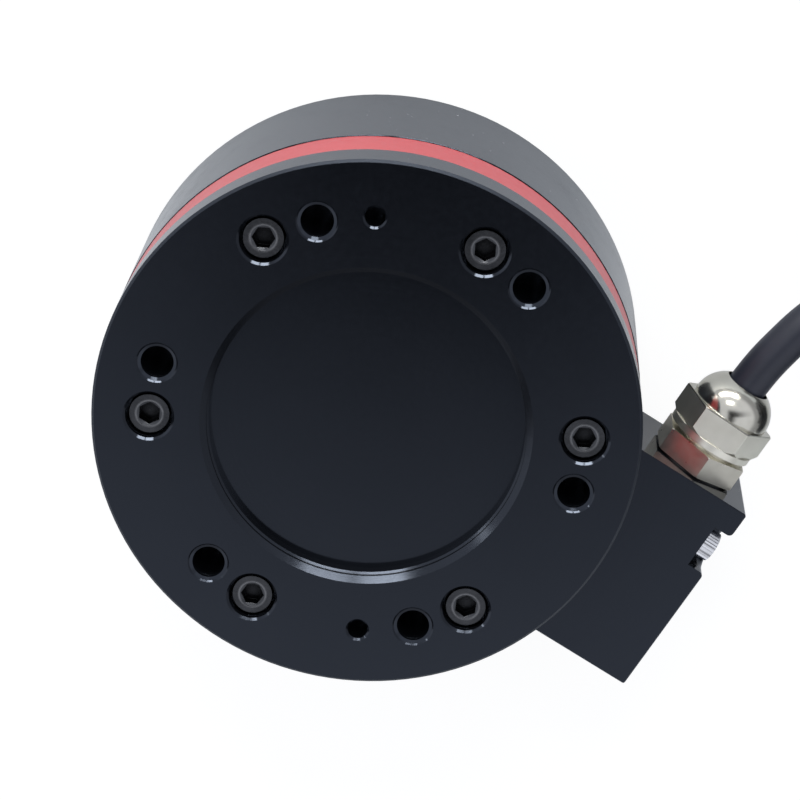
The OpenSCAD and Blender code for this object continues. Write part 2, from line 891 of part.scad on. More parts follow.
// Hexagon with the rims of its corners turned off
module turned_hexagon(af, h, low, high) {
    corner_r = af / 2 / cos(30);
    intersection() {
        hexagon(af, h);
        drum(corner_r, h, low, high);
    }
}

module gland_body() {
    color(nickel)
        at_gland()
            difference() {
                union() {
                    translate([0, 0, -gland_thread_l])
                        cylinder(d = gland_thread_d, h = gland_thread_l + seal_ring_t + overshoot);
                    translate([0, 0, seal_ring_t])
                        rotate(body_hex_turn)
                            turned_hexagon(gland_af, gland_hex_h, hex_edge, hex_edge);
                    translate([0, 0, gland_hex_top - overshoot])
                        cylinder(r = nut_thread_r - thread_gap, h = gland_top - gland_hex_top + overshoot);
                }
                translate([0, 0, -gland_thread_l - overshoot])
                    cylinder(r = gland_bore_r, h = gland_thread_l + insert_z + 2 * overshoot);
                translate([0, 0, insert_z])
                    cylinder(r = insert_r, h = gland_top);
            }
}

module gland_seal_ring() {
    color(black_plastic)
        at_gland()
            difference() {
                cylinder(d = seal_ring_d, h = seal_ring_t);
                translate([0, 0, -overshoot])
                    cylinder(d = gland_thread_d, h = seal_ring_t + 2 * overshoot);
            }
}

module gland_insert() {
    color(black_plastic)
        at_gland()
            translate([0, 0, insert_z])
                difference() {
                    cylinder(r = insert_r, h = insert_top - insert_z);
                    translate([0, 0, -overshoot])
                        cylinder(r = cable_r, h = insert_top - insert_z + 2 * overshoot);
                }
}

// Half section of the nut's dome, above its hexagon
module dome_profile() {
    x = dome_r - dome_round;
    square([dome_r, dome_z]);
    square([x, dome_z + dome_round]);
    intersection() {
        translate([x, dome_z])
            circle(r = dome_round);
        square([dome_r, dome_z + dome_round]);
    }
}

module gland_nut() {
    color(nickel)
        at_gland()
            difference() {
                union() {
                    translate([0, 0, nut_z])
                        cylinder(d = skirt_d, h = skirt_h);
                    translate([0, 0, nut_hex_z])
                        rotate(nut_hex_turn)
                            turned_hexagon(nut_af, nut_hex_h, hex_turning, hex_edge);
                    rotate_extrude()
                        difference() {
                            dome_profile();
                            square([dome_r, nut_hex_z]);
                        }
                }
                translate([0, 0, nut_z - overshoot])
                    cylinder(r = nut_thread_r, h = insert_top - nut_z + overshoot);
                translate([0, 0, nut_z])
                    cylinder(r = mouth_r, h = dome_z + dome_round);
            }
}

module cable_end() {
    color(cable_black)
        at_gland()
            translate([0, 0, -cable_end_in])
                cylinder(r = cable_r, h = cable_end_in + cable_end_out - seam);
}

module inner_harness() {
    x = gland_reach - harness_bend;
    color(black_plastic)
        at_block() {
            translate([x, harness_bend, gland_z])
                rotate(-90)
                    rotate_extrude(angle = 90)
                        translate([harness_bend, 0])
                            circle(d = harness_d);
            translate([connector_x, 0, gland_z])
                rotate([0, 90, 0])
                    cylinder(d = harness_d, h = x - connector_x);
        }
}

module cable() {
    color(cable_black)
        at_lead()
            tube(cable_route, cable_r, tube_sides);
}

// Section of the coil, grown by a margin, with its middle at the coil's middle radius
module coil_section(margin) {
    w = coil_w + 2 * margin;
    h = coil_h + 2 * margin;
    r = cable_r + margin;
    translate([coil_d / 2 - w / 2, coil_z - margin]) {
        translate([r, 0])
            square([w - 2 * r, h]);
        translate([0, r])
            square([w, h - 2 * r]);
        for (x = [r, w - r], y = [r, h - r])
            translate([x, y])
                circle(r = r);
    }
}

module cable_coil() {
    color(cable_black)
        at_lead()
            translate([coil_x, coil_y, 0])
                rotate_extrude()
                    coil_section(0);
}

module cable_ties() {
    color(black_plastic)
        at_lead()
            translate([coil_x, coil_y, 0])
                for (a = tie_angles)
                    rotate(a - tie_span / 2) {
                        rotate_extrude(angle = tie_span)
                            difference() {
                                coil_section(tie_t);
                                coil_section(0);
                            }
                        rotate(tie_span / 2)
                            translate([coil_d / 2 - tie_head_l / 2, -tie_head_l / 2, coil_top + tie_t / 2])
                                cube([tie_head_l, tie_head_l, tie_head_h]);
                    }
}

module cable_tail() {
    color(cable_black)
        at_lead()
            tube(tail_route, cable_r, tube_sides);
}

module rounded_bar(w, y0, y1, inset) {
    r = hood_corner;
    a = w / 2 - inset;
    translate([-a + r, y0 + inset])
        square([2 * (a - r), y1 - y0 - 2 * inset]);
    translate([-a, y0 + inset + r])
        square([2 * a, y1 - y0 - 2 * (inset + r)]);
    for (x = [-a + r, a - r], y = [y0 + inset + r, y1 - inset - r])
        translate([x, y])
            circle(r = r);
}

// One half of the hood, parting face at z = 0 and outer face below
module hood_half() {
    half = hood_t / 2;
    room_w = 2 * (jack_x - jack_d / 2) - 2 * hood_wall;
    difference() {
        translate([0, 0, -half])
            linear_extrude(half) {
                rounded_bar(hood_rear_w, 0, hood_shoulder + 2 * hood_corner, 0);
                rounded_bar(hood_w, hood_shoulder, hood_l, 0);
            }
        translate([-room_w / 2, hood_shoulder, -half + hood_wall])
            cube([room_w, hood_l - hood_shoulder - hood_wall, half]);
        translate([-hood_rear_w / 2 + hood_wall, tail_in - overshoot, -half + hood_wall])
            cube([hood_rear_w - 2 * hood_wall, hood_shoulder, half]);
        translate([-tongue_w / 2, hood_shoulder, -tongue_t / 2])
            cube([tongue_w, hood_l, half]);
        rotate([-90, 0, 0])
            translate([0, 0, -overshoot])
                cylinder(r = cable_r, h = hood_shoulder);
        for (side = [-1, 1])
            translate([side * jack_x, hood_shoulder - overshoot, 0])
                rotate([-90, 0, 0])
                    cylinder(r = jack_d / 2 + bore_gap, h = hood_l);
    }
}

module plug_hood_lower() {
    color(black_plastic)
        at_plug()
            hood_half();
}

module plug_hood_upper() {
    color(black_plastic)
        at_plug()
            mirror([0, 0, 1])
                hood_half();
}

// Outline of the tongue, narrower at the bottom
module tongue_outline(inset) {
    w = tongue_w / 2 - inset;
    h = tongue_t / 2 - inset;
    lean = 2 * h * tan(tongue_lean);
    polygon([[-w, h], [w, h], [w - lean, -h], [-w + lean, -h]]);
}

// Stands an outline across the plug at a distance and draws it out along the plug
module along_plug(y, l) {
    translate([0, y + l, 0])
        rotate([90, 0, 0])
            linear_extrude(l)
                children();
}

module plug_shell() {
    color(nickel)
        at_plug()
            difference() {
                union() {
                    along_plug(hood_l, shell_plate)
                        square([shell_w, shell_t], center = true);
                    along_plug(hood_l, shell_plate + tongue_l)
                        tongue_outline(0);
                }
                along_plug(hood_l - overshoot, tongue_l + 3 * overshoot)
                    tongue_outline(tongue_wall);
                for (side = [-1, 1])
                    along_plug(hood_l - overshoot, shell_plate + 2 * overshoot)
                        translate([side * jack_x, 0])
                            circle(r = jack_d / 2 + bore_gap);
            }
}

// Runs children at each pin's place: eight above, seven below
module at_pins() {
    for (i = [0 : upper_pins - 1])
        translate([(i - (upper_pins - 1) / 2) * pin_pitch, 0, pin_row / 2])
            children();
    for (i = [0 : lower_pins - 1])
        translate([(i - (lower_pins - 1) / 2) * pin_pitch, 0, -pin_row / 2])
            children();
}

module plug_insulator() {
    color(black_plastic)
        at_plug()
            difference() {
                along_plug(hood_l - insulator_back, insulator_back + insulator_front)
                    tongue_outline(tongue_wall);
                at_pins()
                    along_plug(hood_l - insulator_back - overshoot, tongue_w)
                        circle(d = pin_d);
            }
}

module plug_pins() {
    color(brass)
        at_plug()
            at_pins()
                along_plug(hood_l - pin_back, pin_back + pin_front)
                    circle(d = pin_d);
}

module plug_wires() {
    start = tail_in + end_gap;
    stop = hood_l - pin_back - end_gap;
    color(label_red)
        at_plug()
            for (row = [[upper_pins, 1], [lower_pins, -1]], i = [0 : row[0] - 1]) {
                x = (i - (row[0] - 1) / 2) * pin_pitch;
                z = row[1] * pin_row / 2;
                rod([x * wire_crowd, start, z], [x, stop, z], wire_d);
            }
}

module plug_screws() {
    color(steel)
        at_plug()
            for (side = [-1, 1])
                translate([side * jack_x, hood_shoulder, 0])
                    rotate([-90, 0, 0]) {
                        translate([0, 0, -jack_head_l])
                            knurled(jack_head_d, jack_head_l, knurl_teeth);
                        translate([0, 0, -overshoot])
                            cylinder(d = jack_d, h = hood_l - hood_shoulder + jack_reach + overshoot);
                    }
}

tool_flange();
flange_screws();
label_band();
gap_seal();
sensing_element();
strain_gauges();
gauge_leads();
housing();
hub_screws();
amplifier_board();
board_chips();
board_capacitors();
board_connector();
board_spacers();
board_screws();
outlet_block();
outlet_gasket();
outlet_screws();
gland_body();
gland_seal_ring();
gland_insert();
gland_nut();
cable_end();
inner_harness();
cable();
cable_coil();
cable_ties();
cable_tail();
plug_hood_lower();
plug_hood_upper();
plug_shell();
plug_insulator();
plug_pins();
plug_wires();
plug_screws();
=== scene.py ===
import bpy, bmesh, json, math
from mathutils import Vector, Matrix


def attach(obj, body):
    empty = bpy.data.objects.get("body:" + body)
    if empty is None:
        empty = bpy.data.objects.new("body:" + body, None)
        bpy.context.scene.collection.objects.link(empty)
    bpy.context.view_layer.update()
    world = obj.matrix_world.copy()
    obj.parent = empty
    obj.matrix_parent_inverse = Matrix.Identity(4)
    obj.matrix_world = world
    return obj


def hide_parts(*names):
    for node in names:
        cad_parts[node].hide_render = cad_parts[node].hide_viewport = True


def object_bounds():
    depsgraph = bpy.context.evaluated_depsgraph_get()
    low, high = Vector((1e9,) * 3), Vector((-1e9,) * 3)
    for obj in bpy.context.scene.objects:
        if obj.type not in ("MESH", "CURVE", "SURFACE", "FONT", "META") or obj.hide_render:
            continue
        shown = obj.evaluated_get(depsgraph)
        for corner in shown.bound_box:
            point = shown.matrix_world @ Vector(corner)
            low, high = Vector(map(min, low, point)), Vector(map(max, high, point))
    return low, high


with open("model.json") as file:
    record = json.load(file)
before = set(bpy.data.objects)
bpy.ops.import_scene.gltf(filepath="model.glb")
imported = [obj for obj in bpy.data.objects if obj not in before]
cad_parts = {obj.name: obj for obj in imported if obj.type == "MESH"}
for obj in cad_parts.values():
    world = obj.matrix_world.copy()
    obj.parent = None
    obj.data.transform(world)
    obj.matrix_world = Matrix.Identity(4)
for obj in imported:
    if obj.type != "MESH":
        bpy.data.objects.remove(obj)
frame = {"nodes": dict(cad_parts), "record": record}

cad_lo, cad_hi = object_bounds()
MM = 0.001
DISC_R, DISC_TOP = -cad_lo[0], cad_hi[2]

# ---------------------------------------------------------------- camera
# the lens and the place come from fitting the photo's circle of holes, front edge and rear rim
SENSOR_WIDTH, LENS = 36.0, 139.12
CAMERA_RIGHT = Vector((0.9979, 0.0440, -0.0469))
CAMERA_UP = Vector((-0.0568, 0.9456, -0.3204))
CAMERA_PLACE = Vector((0.02504, 0.2039, 0.63572))
cam_data = bpy.data.cameras.new("camera")
cam_data.sensor_width = SENSOR_WIDTH
cam_data.lens = LENS
cam_data.clip_start, cam_data.clip_end = 0.01, 20.0
cam = bpy.data.objects.new("camera", cam_data)
bpy.context.scene.collection.objects.link(cam)
back = CAMERA_RIGHT.cross(CAMERA_UP).normalized()
up = back.cross(CAMERA_RIGHT).normalized()
turned = Matrix((CAMERA_RIGHT.normalized(), up, back)).transposed().to_4x4()
cam.matrix_world = Matrix.Translation(CAMERA_PLACE) @ turned
bpy.context.scene.camera = cam

# ---------------------------------------------------------------- cord
# lengths in millimetres, as in the part's source
CABLE = 8.4
R = CABLE / 2
LEAD_SIDES = 24
BLOCK = math.radians(-30)
GLAND_OUT, EXIT_Y, GLAND_Z = 66.0, 36.0, 22.5
LEAD_X = GLAND_OUT * math.cos(BLOCK) - EXIT_Y * math.sin(BLOCK)
LEAD_Y = GLAND_OUT * math.sin(BLOCK) + EXIT_Y * math.cos(BLOCK)
COIL_X, TURN_R = 94.5, 50.2
INNER_R = TURN_R - CABLE
COIL_Y = 39.7 - TURN_R
COIL_Z, COIL_TOP = 1.0, 26.2
LOW_Z = COIL_Z + R
JOIN_DEGREES = 97
JOIN, RUN = math.radians(JOIN_DEGREES), math.sqrt((TURN_R + CABLE) ** 2 - TURN_R ** 2)
STEPS = [(0, 0, 1), (2.7, 4.7, 1), (5.8, 9.3, 0.99), (9.3, 13.5, 0.97), (13.1, 17.5, 0.93),
         (17.4, 21, 0.87), (22.2, 24.1, 0.78), (27.5, 26.8, 0.66), (33.1, 29.1, 0.52), (38.9, 31.1, 0.37),
         (44.8, 32.8, 0.23), (50.8, 34.2, 0.1)]
free = [Vector((x, y, LOW_Z + (GLAND_Z - LOW_Z) * s)) for x, y, s in STEPS]
for k in (1, 0.6, 0.3):
    free.append(Vector((COIL_X + TURN_R * math.cos(JOIN) - k * RUN * math.sin(JOIN),
                        COIL_Y + TURN_R * math.sin(JOIN) + k * RUN * math.cos(JOIN), LOW_Z)))
# a smooth line through those points, four spans to each gap
route = []
for i in range(len(free) - 1):
    p0, p1, p2, p3 = free[max(i - 1, 0)], free[i], free[i + 1], free[min(i + 2, len(free) - 1)]
    for t in (0, 0.25, 0.5, 0.75):
        route.append(0.5 * (2 * p1 + (p2 - p0) * t + (2 * p0 - 5 * p1 + 4 * p2 - p3) * t * t
                            + (3 * p1 - p0 - 3 * p2 + p3) * t ** 3))
route.append(free[-1])
# six turns, out, in, in, out, out, in on three levels, and then onto the top; each change of place runs
# between two angles, in degrees wound since the cable joined the coil
SLOTS = [(TURN_R, 0), (INNER_R, 0), (INNER_R, 1), (TURN_R, 1), (TURN_R, 2), (INNER_R, 2), (INNER_R, 3)]
MOVES = [(250, 330), (560, 610), (840, 920), (1150, 1200), (1430, 1510), (1740, 1790)]
TAIL_DEGREES, PLUG_Z = 107.0, COIL_TOP + 8.0


def ease(t):
    """0 to 1 with a soft start and end, as two parabolas."""
    t = min(1.0, max(0.0, t))
    return 2 * t * t if t < 0.5 else 1 - 2 * (1 - t) ** 2


def smooth(t):
    """0 to 1 with a soft start and end, as one cubic."""
    return t * t * (3 - 2 * t)


def coil_point(total):
    """Point of the coil after winding that far clockwise."""
    r, lv = SLOTS[0]
    for (a, b), (r2, lv2), (r1, lv1) in zip(MOVES, SLOTS[1:], SLOTS):
        t = ease((total - a) / (b - a))
        r, lv = r + (r2 - r1) * t, lv + (lv2 - lv1) * t
    ang = math.radians(JOIN_DEGREES - total)
    return Vector((COIL_X + r * math.cos(ang), COIL_Y + r * math.sin(ang), COIL_Z + R + CABLE * lv))


for total in range(0, MOVES[-1][1], 10):
    route.append(coil_point(total))
for k in range(11):
    s = k / 10
    a = math.radians(TAIL_DEGREES * (1 - s))
    route.append(Vector((COIL_X + INNER_R * math.cos(a), COIL_Y + INNER_R * math.sin(a),
                         COIL_TOP + R + (PLUG_Z - COIL_TOP - R) * smooth(s))))
route.append(Vector((COIL_X + INNER_R, COIL_Y - 2, PLUG_Z)))
route.append(Vector((COIL_X + INNER_R, COIL_Y - 8, PLUG_Z)))
route = [(p + Vector((LEAD_X, LEAD_Y, 0))) * MM for p in route]


def tube(name, path, radius, sides):
    """Mesh tube along a path, with rings carried along it without twist."""
    mesh = bpy.data.meshes.new(name)
    bm = bmesh.new()
    heads = [(path[min(i + 1, len(path) - 1)] - path[max(i - 1, 0)]).normalized() for i in range(len(path))]
    side = heads[0].cross(Vector((0, 0, 1))).normalized()
    rings = []
    for i, (p, t) in enumerate(zip(path, heads)):
        if i:
            side = heads[i - 1].rotation_difference(t) @ side
        side = (side - t * side.dot(t)).normalized()
        other = t.cross(side)
        rings.append([bm.verts.new(p + radius * (math.cos(a) * side + math.sin(a) * other))
                      for a in (2 * math.pi * k / sides for k in range(sides))])
    for r0, r1 in zip(rings, rings[1:]):
        for k in range(sides):
            bm.faces.new((r0[k], r0[(k + 1) % sides], r1[(k + 1) % sides], r1[k])).smooth = True
    bm.faces.new(list(reversed(rings[0])))
    bm.faces.new(rings[-1])
    bmesh.ops.recalc_face_normals(bm, faces=bm.faces)
    bm.to_mesh(mesh)
    bm.free()
    obj = bpy.data.objects.new(name, mesh)
    bpy.context.scene.collection.objects.link(obj)
    return obj


# a hair thinner than the source's cable
lead = tube("lead", route, R * MM * 0.998, LEAD_SIDES)
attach(lead, "root")
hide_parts("cable", "cable_coil", "cable_tail")


# ---------------------------------------------------------------- materials
# where the marks lie: the holes' circle, the pilot's chamfer, and the worn ring with a painted highlight
# round a screw's socket
PITCH_R, SCREW_STEP = 43.5 * MM, math.pi / 3
CHAMFER_R, CHAMFER_HALF = 32.4 * MM, 0.9 * MM
WORN_GLINT_R, WORN_GLINT_HALF = 2.75 * MM, 0.3 * MM
THREAD_PITCH, HOLE_REACH = 1.25 * MM, 4.5 * MM
DOME_FROM = 34.2 * MM                                   # along the gland's axis, from the sensor's axis
# depths of relief, in metres
TURNING_DEPTH, GRAIN_DEPTH, MOULD_DEPTH = 0.00002, 0.00003, 0.00004
EDGE_SAMPLES, SHADE_SAMPLES = 6, 8


class Nodes:
    """Short calls for building one material."""

    def __init__(self, name):
        self.mat = bpy.data.materials.new(name)
        self.mat.use_nodes = True
        self.tree = self.mat.node_tree
        self.tree.nodes.clear()
        self.out = self.tree.nodes.new("ShaderNodeOutputMaterial")
        self.bsdf = self.tree.nodes.new("ShaderNodeBsdfPrincipled")
        self.link(self.bsdf.outputs[0], self.out.inputs["Surface"])
        self.coord = self.tree.nodes.new("ShaderNodeTexCoord").outputs["Object"]

    def link(self, a, b):
        self.tree.links.new(a, b)

    def set(self, **values):
        for key, value in values.items():
            self.bsdf.inputs[key.replace("_", " ")].default_value = value
        return self

    def noise(self, scale, detail=3.0, vector=None, rough=0.5):
        n = self.tree.nodes.new("ShaderNodeTexNoise")
        n.inputs["Scale"].default_value = scale
        n.inputs["Detail"].default_value = detail
        n.inputs["Roughness"].default_value = rough
        self.link(vector or self.coord, n.inputs["Vector"])
        return n.outputs["Fac"]

    def range(self, value, lo, hi, a=0.0, b=1.0):
        n = self.tree.nodes.new("ShaderNodeMapRange")
        n.inputs["From Min"].default_value = a
        n.inputs["From Max"].default_value = b
        n.inputs["To Min"].default_value = lo
        n.inputs["To Max"].default_value = hi
        self.link(value, n.inputs["Value"])
        return n.outputs[0]

    def math(self, op, a, b=0.0):
        n = self.tree.nodes.new("ShaderNodeMath")
        n.operation = op
        for sock, v in zip(n.inputs, (a, b)):
            if isinstance(v, (int, float)):
                sock.default_value = v
            else:
                self.link(v, sock)
        return n.outputs[0]

    def near(self, value, middle, reach):
        """1 where the value lies within reach of the middle, and 0 elsewhere."""
        return self.math("LESS_THAN", self.math("ABSOLUTE", self.math("SUBTRACT", value, middle)), reach)

    def mix(self, fac, a, b):
        n = self.tree.nodes.new("ShaderNodeMix")
        n.data_type = "RGBA"
        for key, v in ((0, fac), (6, a), (7, b)):
            if isinstance(v, (int, float)):
                n.inputs[key].default_value = v
            elif isinstance(v, tuple):
                n.inputs[key].default_value = (*v, 1.0)
            else:
                self.link(v, n.inputs[key])
        return n.outputs[2]

    def bump(self, height, strength, distance, soften=0.0):
        """Relief from a height, with edges rounded in shading only when soften has a radius."""
        n = self.tree.nodes.new("ShaderNodeBump")
        if soften:
            edge = self.tree.nodes.new("ShaderNodeBevel")
            edge.samples = EDGE_SAMPLES
            edge.inputs["Radius"].default_value = soften
            self.link(edge.outputs[0], n.inputs["Normal"])
        n.inputs["Strength"].default_value = strength
        n.inputs["Distance"].default_value = distance
        self.link(height, n.inputs["Height"])
        self.link(n.outputs[0], self.bsdf.inputs["Normal"])
        return self

    def polar(self):
        """Radius from the sensor's axis and height, as a vector that makes rings of any noise."""
        sep = self.tree.nodes.new("ShaderNodeSeparateXYZ")
        self.link(self.coord, sep.inputs[0])
        r = self.math("SQRT", self.math("ADD", self.math("MULTIPLY", sep.outputs[0], sep.outputs[0]),
                                        self.math("MULTIPLY", sep.outputs[1], sep.outputs[1])))
        comb = self.tree.nodes.new("ShaderNodeCombineXYZ")
        self.link(r, comb.inputs[0])
        self.link(sep.outputs[2], comb.inputs[1])
        facing = self.tree.nodes.new("ShaderNodeSeparateXYZ")
        self.link(self.coord.node.outputs["Normal"], facing.inputs[0])
        return comb.outputs[0], r, sep.outputs[2], facing.outputs[2]


def from_screw(m):
    """Distance from the axis of the nearest of the six screws, which stand 60 degrees apart."""
    sep = m.tree.nodes.new("ShaderNodeSeparateXYZ")
    m.link(m.coord, sep.inputs[0])
    x, y = sep.outputs[0], sep.outputs[1]
    turn = m.math("ARCTAN2", y, x)
    near = m.math("MULTIPLY", m.math("ROUND", m.math("MULTIPLY", turn, 1 / SCREW_STEP)), SCREW_STEP)
    rr = m.math("ADD", m.math("MULTIPLY", x, x), m.math("MULTIPLY", y, y))
    reach = m.math("MULTIPLY", m.math("SQRT", rr), m.math("COSINE", m.math("SUBTRACT", turn, near)))
    square = m.math("ADD", m.math("SUBTRACT", rr, m.math("MULTIPLY", reach, 2 * PITCH_R)), PITCH_R ** 2)
    return m.math("SQRT", m.math("MAXIMUM", square, 0.0))


def anodised(name, base, tint, rough, rings):
    """Black anodised aluminium: fine turning rings under a satin dye, a little uneven in tone."""
    m = Nodes(name)
    tone = m.noise(45.0, 4.0)
    dyed = m.mix(m.range(tone, 0.0, 1.0, 0.3, 0.7), base, tint)
    grain = m.noise(900.0, 2.0)
    polar, radius, height, upward = m.polar()
    # rougher on the pilot's chamfer and the disc's edge, with specks and smears on the side
    step = m.near(radius, CHAMFER_R, CHAMFER_HALF)
    lip = m.math("MULTIPLY", m.math("GREATER_THAN", radius, DISC_R - 0.6 * MM),
                 m.math("GREATER_THAN", height, DISC_TOP - 0.6 * MM))
    side = m.math("MULTIPLY", m.math("GREATER_THAN", radius, DISC_R - 1.5 * MM),
                  m.math("LESS_THAN", upward, 0.5))
    dust = m.math("MULTIPLY", side, m.range(m.noise(1100.0, 1.0), 0.0, 0.5, 0.76, 0.79))
    m.link(m.mix(dust, dyed, (0.5, 0.5, 0.52)), m.bsdf.inputs["Base Color"])
    smear = m.math("MULTIPLY", side, m.range(m.noise(90.0, 5.0, None, 0.65), 0.0, 0.09, 0.45, 0.75))
    dull = m.math("ADD", m.math("MULTIPLY", step, 0.07),
                  m.math("ADD", smear, m.range(grain, rough - 0.04, rough + 0.05)))
    m.link(m.math("ADD", m.math("MULTIPLY", lip, 0.35), dull), m.bsdf.inputs["Roughness"])
    turn = m.noise(rings, 2.0, polar)
    fine = m.noise(2600.0, 2.0)
    # turns of thread down the walls of the tapped holes, which all stand on one circle
    wall = m.math("LESS_THAN", m.math("ABSOLUTE", upward), 0.3)
    circle = m.near(radius, PITCH_R, HOLE_REACH)
    turns = m.math("SINE", m.math("MULTIPLY", height, 2 * math.pi / THREAD_PITCH))
    thread = m.math("MULTIPLY", m.math("MULTIPLY", wall, circle), turns)
    relief = m.math("ADD", turn, m.math("MULTIPLY", fine, 0.5))
    surface = m.math("ADD", m.math("MULTIPLY", relief, 0.1), m.math("MULTIPLY", thread, 8.0))
    m.bump(surface, 1.0, TURNING_DEPTH)
    return m.set(Metallic=0.0, IOR=1.55, Specular_Tint=(0.72, 0.82, 1.0, 1.0))


def metal(name, base, tint, rough, scale, bump=0.1, soften=0.0, shade_reach=0.0):
    """Bare or plated metal, mottled and lightly brushed. With a shade reach, it has worn rings with a
    painted highlight, and painted shade in its hollows.
    """
    m = Nodes(name)
    tone = m.noise(scale * 0.2, 3.0)
    colour = m.mix(m.range(tone, 0.0, 1.0, 0.3, 0.7), base, tint)
    if shade_reach:
        occlusion = m.tree.nodes.new("ShaderNodeAmbientOcclusion")
        occlusion.samples = SHADE_SAMPLES
        occlusion.inputs["Distance"].default_value = shade_reach
        # oxide rubbed thin in a ring round each flange screw's socket, lightened as a painted highlight, and
        # painted shade down inside
        off_worn_glint = m.math("ABSOLUTE", m.math("SUBTRACT", from_screw(m), WORN_GLINT_R))
        patchy = m.range(m.noise(420.0, 2.0), 0.1, 0.6)
        worn_glint = m.math("MULTIPLY", m.range(off_worn_glint, 1.0, 0.0, 0.0, WORN_GLINT_HALF), patchy)
        # wear and painted highlight: the ring is lightened to a flat grey
        colour = m.mix(worn_glint, colour, (0.42, 0.42, 0.42))
        # painted shade: the colour falls to a tenth of the base where the occlusion finds a hollow
        unshaded = m.range(occlusion.outputs["AO"], 0.0, 1.0, 0.35, 0.75)
        colour = m.mix(unshaded, tuple(v * 0.1 for v in base), colour)
    m.link(colour, m.bsdf.inputs["Base Color"])
    brush = m.noise(scale, 4.0)
    m.link(m.range(brush, rough - 0.08, rough + 0.1), m.bsdf.inputs["Roughness"])
    m.bump(brush, bump, GRAIN_DEPTH, soften)
    return m.set(Metallic=1.0)


def polymer(name, base, tint, rough, scale, bump=0.15):
    """Moulded, printed or lacquered surface with a fine grain."""
    m = Nodes(name)
    tone = m.noise(scale * 0.1, 3.0)
    m.link(m.mix(m.range(tone, 0.0, 1.0, 0.3, 0.7), base, tint), m.bsdf.inputs["Base Color"])
    grain = m.noise(scale, 3.0)
    m.link(m.range(grain, rough - 0.05, rough + 0.05), m.bsdf.inputs["Roughness"])
    m.bump(grain, bump, MOULD_DEPTH)
    return m.set(Metallic=0.0)


MATS = {
    "anodised": anodised("anodised_black", (0.003, 0.0034, 0.0045), (0.0045, 0.005, 0.0065), 0.11, 1500.0),
    "steel": metal("bright_steel", (0.8, 0.8, 0.8), (0.92, 0.92, 0.92), 0.2, 1200.0),
    # black oxide: painted shade in hollows within 4 mm, and a worn ring with a painted highlight
    "black_oxide": metal("black_oxide_steel", (0.055, 0.057, 0.06), (0.088, 0.09, 0.095), 0.24, 1500.0, 0.45,
                         soften=0.25 * MM, shade_reach=4 * MM),
    "label": polymer("label_film", (0.52, 0.038, 0.042), (0.57, 0.046, 0.05), 0.3, 600.0, 0.03),
    "seal_rubber": polymer("seal_rubber", (0.012, 0.012, 0.013), (0.02, 0.02, 0.02), 0.6, 900.0),
    "alloy": metal("machined_alloy", (0.62, 0.62, 0.62), (0.7, 0.7, 0.7), 0.3, 700.0),
    "gauge_film": polymer("gauge_film", (0.45, 0.2, 0.05), (0.52, 0.25, 0.07), 0.3, 900.0),
    "board": polymer("board_lacquer", (0.01, 0.09, 0.035), (0.015, 0.12, 0.05), 0.3, 500.0),
    "black_plastic": polymer("black_plastic", (0.016, 0.016, 0.018), (0.022, 0.022, 0.025), 0.45, 1400.0),
    "brass": metal("brass", (0.62, 0.42, 0.16), (0.7, 0.5, 0.2), 0.25, 900.0),
    "nickel": metal("nickel_plate", (0.62, 0.585, 0.5), (0.76, 0.725, 0.63), 0.22, 700.0, 0.4,
                    soften=0.2 * MM),
    "cable_jacket": polymer("cable_jacket", (0.016, 0.018, 0.028), (0.022, 0.024, 0.036), 0.42, 1800.0, 0.2),
    "wire": polymer("wire_sleeve", (0.35, 0.03, 0.03), (0.42, 0.04, 0.04), 0.35, 900.0),
}


def along(m, direction, scale=1.0):
    """Distance along a direction, times a scale."""
    n = m.tree.nodes.new("ShaderNodeVectorMath")
    n.operation = "DOT_PRODUCT"
    n.inputs[1].default_value = [v * scale for v in direction]
    m.link(m.coord, n.inputs[0])
    return n.outputs["Value"]


def plated_nut():
    """Domed nut: smooth turned dome with its plate darkened as painted shade, and a duller, brushed hexagon.
    """
    m = Nodes("nickel_plate_nut")
    axis, side = (0.5, 0.866, 0), (0.866, -0.5, 0)      # the gland's axis, and level across it
    dome = m.math("GREATER_THAN", along(m, axis), DOME_FROM)
    tone = m.noise(160.0, 4.0)
    plate = m.mix(m.range(tone, 0.0, 1.0, 0.3, 0.7), (0.82, 0.79, 0.67), (0.92, 0.89, 0.77))
    # painted shade: the dome's plate gets a darker colour than the hexagon's
    turned = m.mix(m.range(tone, 0.0, 1.0, 0.3, 0.7), (0.56, 0.54, 0.46), (0.7, 0.67, 0.58))
    m.link(m.mix(dome, plate, turned), m.bsdf.inputs["Base Color"])
    grid = m.tree.nodes.new("ShaderNodeCombineXYZ")
    for i, (d, k) in enumerate(((side, 2600.0), (axis, 120.0), ((0, 0, 1), 2600.0))):
        m.link(along(m, d, k), grid.inputs[i])
    brush = m.noise(1.0, 3.0, grid.outputs[0])
    rough = m.mix(dome, m.range(brush, 0.28, 0.46), m.range(m.noise(500.0, 4.0), 0.1, 0.24))
    m.link(rough, m.bsdf.inputs["Roughness"])
    grit = m.noise(1400.0, 4.0)
    on_hexagon = m.math("MULTIPLY", m.math("SUBTRACT", 1.0, dome), brush)
    m.bump(m.math("ADD", grit, on_hexagon), 0.25, GRAIN_DEPTH, soften=0.2 * MM)
    return m.set(Metallic=1.0)


OWN = {
    "gland_nut": plated_nut(),
    "gland_body": metal("nickel_plate_body", (0.66, 0.63, 0.52), (0.84, 0.8, 0.68), 0.3, 700.0, 0.6),
}
for entry in frame["record"]["subparts"]:
    obj = frame["nodes"][entry["node"]]
    obj.data.materials.clear()
    obj.data.materials.append(OWN.get(entry["node"], MATS[entry["material_slot"]]).mat)
lead.data.materials.append(MATS["cable_jacket"].mat)

